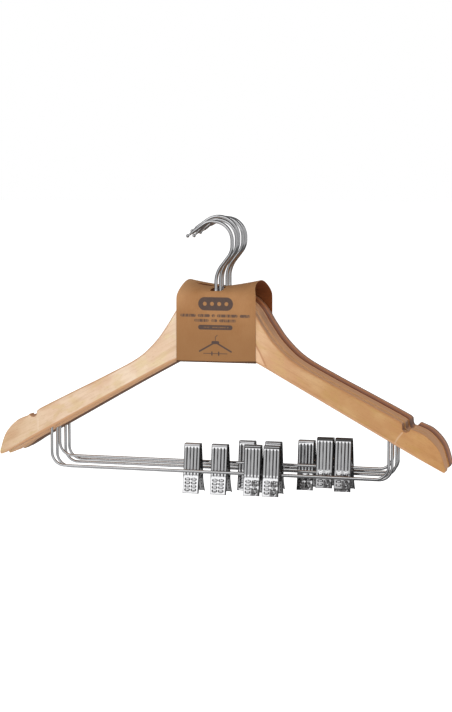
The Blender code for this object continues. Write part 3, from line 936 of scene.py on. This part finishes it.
def jawMesh(side, end):
    # the rear jaw's ears stand inside the front jaw's
    inset = clip["sheet"] + clip["play"] if side > 0 else 0
    hole = [point.xz for point in arcPoints((0, 0, 0), clip["hole"], 0, tau, 24)[1:]]
    middle = clip["width"] / 2 - clip["sheet"] / 2 - inset
    ears = []
    for way in (-1, 1):
        turn = Matrix.Translation((way * middle, 0, 0)) @ alongBar
        ears.append(plateMesh(earOutline(side, end), [hole], clip["sheet"], turn))
    mesh = cutOrJoin(jawSheet(side, end), ears, "UNION")
    smoothShade(mesh, 50)
    mesh.materials.append(plainSheet)
    return mesh


# the torsion spring; its legs lean back and forth
coil = inMm({
    "radius": 2.25, "wire": 0.45, "pitch": 1.5, "leg": 5,
}) | {
    "turns": 2.5, "steps": 60, "back": radians(26), "front": radians(-4),
}


def springRoute():
    length, steps = coil["turns"] * coil["pitch"], coil["steps"]
    circles = arcPoints((0, 0, 0), coil["radius"], 0, tau * coil["turns"], steps)
    turns = [Vector((length * (step / steps - 0.5), x, z)) for step, (x, y, z) in enumerate(circles)]
    backFoot, frontFoot = (
        turns[end] + coil["leg"] * Vector((0, sin(coil[word]), -cos(coil[word])))
        for end, word in ((0, "back"), (-1, "front"))
    )
    return [tuple(point) for point in (backFoot, *turns, frontFoot)]


def makeClips():
    fronts = {end: jawMesh(-1, end) for end in sorted({pair[0] for pair in leverEnds.values()})}
    backs = {end: jawMesh(1, end) for end in sorted({pair[1] for pair in leverEnds.values()})}
    spring = wireMesh("clipSpring", springRoute(), coil["wire"], 3, springSteel)
    for number, (frontEnd, backEnd) in leverEnds.items():
        shapes = {"front": fronts[frontEnd], "back": backs[backEnd]}
        if number in shadedSheets:
            shapes["front"] = shapes["front"].copy()
            shapes["front"].materials[0] = shadedSheets[number]
        for letter in letters:
            name = f"clip_{number}{letter}"
            spot = Vector(joints[f"{name}_swing"]["pos_m"])
            for word, mesh in shapes.items():
                body = f"{name}_{word}"
                newObject(f"{body}_sheet", mesh, spot, body, "chrome", f"{body}_jaw")
            newObject(f"{name}_coil", spring, spot, f"{name}_slider", "spring_steel", f"{name}_spring")


makeClips()
print("clips made")


# Kraft sleeve
sleeve = inMm({
    "left": 38, "right": 41.2, "paper": 0.4, "lift": 2.4, "lean in": 3.5, "lean run": 16,
    "front": -0.3, "depth": 61.8, "crown middle": 5, "crown end": 11, "shoulder": 0.3,
    "shoulder drop": 9.5, "slot half": 3.1, "slot run": (0.5, 58.3), "torn run": 6,
}) | {
    "arch power": 0.8, "torn": ((-1, 2.2 * mm, 11 * mm), (1, 5.2 * mm, 20 * mm)),
    "panel shares": (0, 0.01, 0.2, 0.4, 0.6, 0.8, 0.93), "kraft": (163, 119, 78),
    "shade": (151, 106, 66), "speck": (110, 72, 42), "lower": (138, 98, 60),
    "wornAndLit": (196, 152, 110), "inside": (134, 72, 32), "inside top shade": (124, 68, 32),
    "slot shade": (36, 21, 13), "fold shadow": (62, 44, 34), "ink": (74, 60, 56),
}
# where the paper's tones change, painted shade and painted light among them
paperRuns = inMm({
    "lower": (155, 105), "top": (140, 168), "corner": (18, 38), "slot": (18, 10),
    "fold shadow": (1.3, 0.6), "fold shadow rise": (10, 40), "front": (2.5, 0.5), "middle": 130,
})


def sleeveSection(bend, steps):
    # the paper's inside in depth and height, measured from the pack's datum
    neck = board["neck"]
    crown = neck + blend(sleeve["crown middle"], sleeve["crown end"], bend)
    shoulder = neck + sleeve["shoulder"] - sleeve["shoulder drop"] * bend
    front, half = sleeve["front"], sleeve["depth"] / 2
    section = [(front, blend(sleeveFloor, shoulder, share)) for share in sleeve["panel shares"]]
    backPanel = [(front + sleeve["depth"], z) for y, z in section[::-1]]
    for step in range(steps + 1):
        angle = pi * step / steps
        rise = max(sin(angle), 0) ** sleeve["arch power"]
        section.append((front + half * (1 - cos(angle)), blend(shoulder, crown, rise)))
    return section + backPanel


def sleeveMesh():
    work = bmesh.new()
    rings = []
    stations = 24
    for step in range(stations + 1):
        share = step / stations
        x = -sleeve["left"] + share * (sleeve["left"] + sleeve["right"])
        # 0 in the middle of the sleeve, 1 at both ends, with a soft turn
        bend = (hypot(2 * share - 1, 0.12) - 0.12) / 0.887
        section = sleeveSection(bend, 28)
        crown = max(z for y, z in section)
        end = (2 * share - 1) ** 3
        ring = []
        for y, z in section:
            rise = eased(z - crown, -sleeve["lean run"], sleeve["lean run"])
            ring.append(work.verts.new((x - end * rise * sleeve["lean in"], y, z)))
        rings.append(ring)
    bridge(work, rings)
    bmesh.ops.recalc_face_normals(work, faces=work.faces)
    piece = thickened(meshFrom(work, "sleeve"), sleeve["paper"], 1)
    mesh = cutOrJoin(piece, [slotTool(), slitTool()], "DIFFERENCE")
    smoothShade(mesh, 40)
    return mesh


def foldTool(outline):
    # a block that cuts an outline through the fold on top
    return plateMesh(outline, [], 26 * mm, Matrix.Translation((0, 0, board["neck"] + 6 * mm)))


def slotTool():
    # the slot's outline, torn wider round the front stem
    random.seed(4)
    first, last = sleeve["slot run"]
    steps = 24
    outline = []
    for side, torn, reach in sleeve["torn"]:
        for step in range(steps + 1)[::-side]:
            y = blend(first, last, (step / steps) ** 1.4)
            wide = sleeve["slot half"] + torn * eased(y, reach, -sleeve["torn run"])
            taper = 0.55 if step in (0, steps) else 1
            outline.append((side * wide * taper * random.uniform(0.84, 1.06), y))
    return foldTool(outline)


def slitTool():
    # a thin gaping slit in the fold, left of the stems
    steps = 12
    swells = [sin(pi * step / steps) for step in range(steps + 1)]
    front = [(-26 + 25 * step / steps, 22 + 1.5 * swell) for step, swell in enumerate(swells)]
    back = [(x, y - 7 * swell - 0.1) for (x, y), swell in zip(front, swells)]
    return foldTool([(x * mm, y * mm) for x, y in front + back[::-1]])


# all in mm; a bar has its middle, half its length and half its height
printMarks = {
    "top bar": (1.5, 152.4, 17.4, 6.4),
    "dot places": (-10.8, -3.6, 3.6, 10.8),
    "dot": 1.9,
    "pill": (1.2, 129.8, 17.2, 2.3),
    # height, both ends, and how long the words are for each other
    "rules": ((141.0, -34, 36, (9, 7, 2, 12, 6)), (136.3, -20, 22, (7, 3, 8))),
    # width and points
    "small line": (1.0, (-12, 129.8), (14, 129.8)),
    "hanger sign": (
        (1.5, (-14.6, 106.6), (1.2, 115.5), (17, 106.6)),
        (3.0, (-1.2, 115.2), (3.6, 115.2)),
        (0.6, (1.2, 117), (1.2, 120.5), (3.2, 122.4)),
        (0.6, (-10.5, 104.6), (13, 104.6)),
        (1.3, (-2.2, 103.2), (-2.2, 106)),
        (1.3, (4.6, 103.2), (4.6, 106)),
    ),
}


def roundedBar(look, x, z, *bar):
    # 1 inside a bar with round ends, 0 outside
    middle, height, half, high = (value * mm for value in bar)
    across = look.most(abs(x - middle) - (half - high), 0)
    up = z - height
    return ((across * across + up * up) ** 0.5).fade(high + 0.25 * mm, high - 0.25 * mm)


def ruleMask(look, x, z, height, cursor, end, words):
    # a row of plain dashes, a unit apart
    unit = (end - cursor) / (sum(words) + len(words) - 1)
    dashes = []
    for word in words:
        half = unit * word / 2
        dashes.append(roundedBar(look, x, z, cursor + half, height, half, 1.4))
        cursor += unit * (word + 1)
    return look.most(*dashes)


def printInk(look, x, z):
    # 1 where the paper is printed
    middle, height, *rest = printMarks["top bar"]
    bar = roundedBar(look, x, z, middle, height, *rest)
    dot = printMarks["dot"]
    for place in printMarks["dot places"]:
        bar = bar * (1 - roundedBar(look, x, z, middle + place, height, dot, dot))
    ink = look.most(bar, roundedBar(look, x, z, *printMarks["pill"]))
    broken = look.noise(look.place(scale=(1, 1, 0.2)), 620, 1).fade(0.42, 0.56)
    ink = ink * (1 - strokes(look, x, z, *printMarks["small line"]) * broken * 0.5)
    rules = look.most(*(ruleMask(look, x, z, *rule) for rule in printMarks["rules"]))
    sign = (strokes(look, x, z, *line) for line in printMarks["hanger sign"])
    return look.most(ink, rules * (0.45 + broken * 0.45), *sign)


def kraftLook():
    look = Look("kraft_paper", IOR=1.4)
    spot = look.place(move=-sleeveDatum)
    x, y, z = look.parts(look.place())
    fibres = look.noise(look.place(scale=(1, 1, 0.35)), 900, 4, 0.65)
    clouds = look.noise(spot, 45, 3, 0.55)
    specks = look.noise(spot, 1500, 1, 0.4).fade(0.68, 0.76)
    tone = (clouds * 0.7 + fibres * 0.3).fade(0.3, 0.7)
    paper = look.paint(tone, toLinear(*sleeve["kraft"]), sleeve["shade"])
    paper = look.paint(specks * 0.3, paper, sleeve["speck"])
    # painted shade: darker towards the bottom
    paper = look.paint(z.fade(*paperRuns["lower"]) * 0.7, paper, sleeve["lower"])
    top = z.fade(*paperRuns["top"])
    # painted light on the sleeve's upper left corner
    corner = top * (0 - x).fade(*paperRuns["corner"])
    paper = look.paint(corner * 0.45, paper, sleeve["wornAndLit"])
    # painted shade on the sleeve's inner side, deeper at the top and darkest round the slot
    inner = look.paint(top, toLinear(*sleeve["inside"]), sleeve["inside top shade"])
    inner = look.paint(top * abs(x).fade(*paperRuns["slot"]), inner, sleeve["slot shade"])
    normal = look.normal()
    outward = (y - sleeve["depth"] / 2) * normal[1] + (z - paperRuns["middle"]) * normal[2]
    paper = look.mix(outward.fade(mm, -mm), paper, inner)
    # painted shadow along the bottom fold
    up = z - sleeveFloor - x.fade(*paperRuns["fold shadow rise"]) * 0.8 * mm
    paper = look.paint(up.fade(*paperRuns["fold shadow"]) * 0.85, paper, sleeve["fold shadow"])
    ink = printInk(look, x, z) * y.fade(*paperRuns["front"]) * (0.84 + fibres * 0.2)
    ink = look.maths("MINIMUM", ink, 1)
    colour = look.paint(ink, paper, sleeve["ink"])
    bump = look.bump(fibres * 0.7 + clouds * 0.3, 0.12 * mm, 0.4)
    return look.feed(Base_Color=colour, Roughness=0.86 - ink * 0.16, Normal=bump)


packDatum = hangerDatum(1) - Vector((0, board["thickness"] / 2, 0))
sleeveDatum = Vector((0, packDatum.y, packDatum.z))
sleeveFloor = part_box("paper_sleeve")[0].z + sleeve["paper"] + sleeve["lift"] - packDatum.z


def makeSleeve():
    mesh = sleeveMesh()
    mesh.materials.append(kraftLook())
    newObject("kraft_sleeve", mesh, sleeveDatum, "frame", "kraft_paper", "paper_sleeve")


makeSleeve()
print("sleeve made")


# Floor, lights and camera
studio = {
    "floor drop": 60 * mm, "floor size": 40.0, "floor glow": 0.95, "floor greys": (0.48, 0.52),
    "target": Vector((11.7 * mm, packDatum.y, 102.5 * mm + packDatum.z)), "distance": 1.86,
    "azimuth": radians(16.25), "elevation": radians(5.49), "lens": 98.04, "sensor": 36,
}
# lamps: where each stands, the height it aims at, its size and its power
lamps = {
    "key_left": ((-0.8, -1.8, 0.5), -0.15, (0.8, 0.8), 7.1),
    "fill_front": ((0.5, -2.0, 0.2), -0.15, (0.8, 0.8), 2),
    "side_right": ((1.5, -0.4, 0.5), -0.1, (0.8, 0.8), 2.6),
    "top_soft": ((0.2, -0.3, 1.5), -0.1, (1.2, 1.0), 8.5),
    "back_soft": ((-0.6, 2.0, 0.6), -0.1, (1.0, 0.8), 7),
}


def makeFloor():
    # a white light table that stays even under the pack
    work = bmesh.new()
    bmesh.ops.create_grid(work, x_segments=24, y_segments=24, size=studio["floor size"] / 2)
    for vert in work.verts:
        vert.co.z = cadLow.z - studio["floor drop"]
    mesh = meshFrom(work, "paleFloor")
    floor = tempObject("pale_floor", mesh)
    look = Look("pale_floor", Roughness=0.9, Emission_Strength=studio["floor glow"])
    look.shader.inputs["Emission Color"].default_value = (1, 1, 1, 1)
    dark, light = ((grey, grey, grey) for grey in studio["floor greys"])
    grain = look.noise(look.place(), 3)
    mesh.materials.append(look.feed(Base_Color=look.mix(grain, dark, light)))
    floor.visible_glossy = False


def makeLamps():
    for name, (place, aim, size, power) in lamps.items():
        light = bpy.data.lights.new(name, "AREA")
        light.shape = "RECTANGLE"
        light.size, light.size_y = size
        light.energy = power
        lamp = tempObject(name, light)
        lamp.visible_glossy = False
        lamp.location = place
        lamp.rotation_euler = (Vector((0, 0, aim)) - Vector(place)).to_track_quat("-Z", "Y").to_euler()


# what the wire mirrors: how bright each part of a grey room is, with its softboxes
room = {
    "walls": 0.12, "front": 0.58, "softbox": 1.5, "right": 0.45, "behind": 0.3, "strips": 0.35,
    "steep": 0.13, "keyed": 0.5,
}
# where they are: radians beside the aim, or the height or side of a direction
roomRuns = {
    "front": (0.6, 0.45), "right": (0.45, 0.6, 1.4, 1.6), "strips": (1.25, 1.35, 1.5, 1.6),
    "behind": (1.6, 1.8), "keyed": (0.22, 0.34), "high": (0.13, 0.19), "steep": (0.55, 0.65),
    "under": (-0.2, -0.3), "aim": radians(16),
}


def makeWorld():
    # white behind the pack for the camera, and the room for everything else
    world = bpy.data.worlds.new("studio")
    bpy.context.scene.world = world
    world.use_nodes = True
    wiring = Wiring(world.node_tree)
    x, y, z = wiring.parts(wiring.node("ShaderNodeTexCoord", {}, {}, out="Generated"))
    turned = wiring.maths("ARCTAN2", x, 0 - y) + roomRuns["aim"]
    aside = abs(turned)
    front = aside.fade(*roomRuns["front"])
    low = z.fade(*roomRuns["high"][::-1])
    high = z.between(*roomRuns["high"], *roomRuns["steep"])
    level = room["walls"] + front * (low * room["front"] + high * room["softbox"])
    level = level + turned.between(*roomRuns["right"]) * room["right"]
    level = level + aside.between(*roomRuns["strips"]) * room["strips"]
    level = level + aside.fade(*roomRuns["behind"]) * room["behind"]
    steep = z.fade(*roomRuns["steep"])
    under = z.fade(*roomRuns["under"])
    keyed = (0 - x).fade(*roomRuns["keyed"]) * room["keyed"]
    level = level * (1 - steep) * (1 - under) + (steep + under) * (room["steep"] + keyed)
    level = wiring.most(level, wiring.node("ShaderNodeLightPath", {}, {}, out="Is Camera Ray"))
    shade = wiring.node("ShaderNodeCombineColor", {}, {0: level, 1: level, 2: level})
    wiring.tree.links.new(shade.socket, wiring.tree.nodes["Background"].inputs["Color"])


def makeCamera():
    camera = bpy.data.cameras.new("photoCamera")
    camera.lens = studio["lens"]
    camera.sensor_width = studio["sensor"]
    holder = tempObject("photo_camera", camera)
    azimuth, elevation = studio["azimuth"], studio["elevation"]
    back = Vector((
        sin(azimuth) * cos(elevation),
        -cos(azimuth) * cos(elevation),
        sin(elevation),
    ))
    holder.location = studio["target"] + studio["distance"] * back
    holder.rotation_euler = (-back).to_track_quat("-Z", "Y").to_euler()
    bpy.context.scene.camera = holder


makeFloor()
makeLamps()
makeWorld()
makeCamera()
bpy.context.scene.view_settings.view_transform = "Standard"
print("studio made")
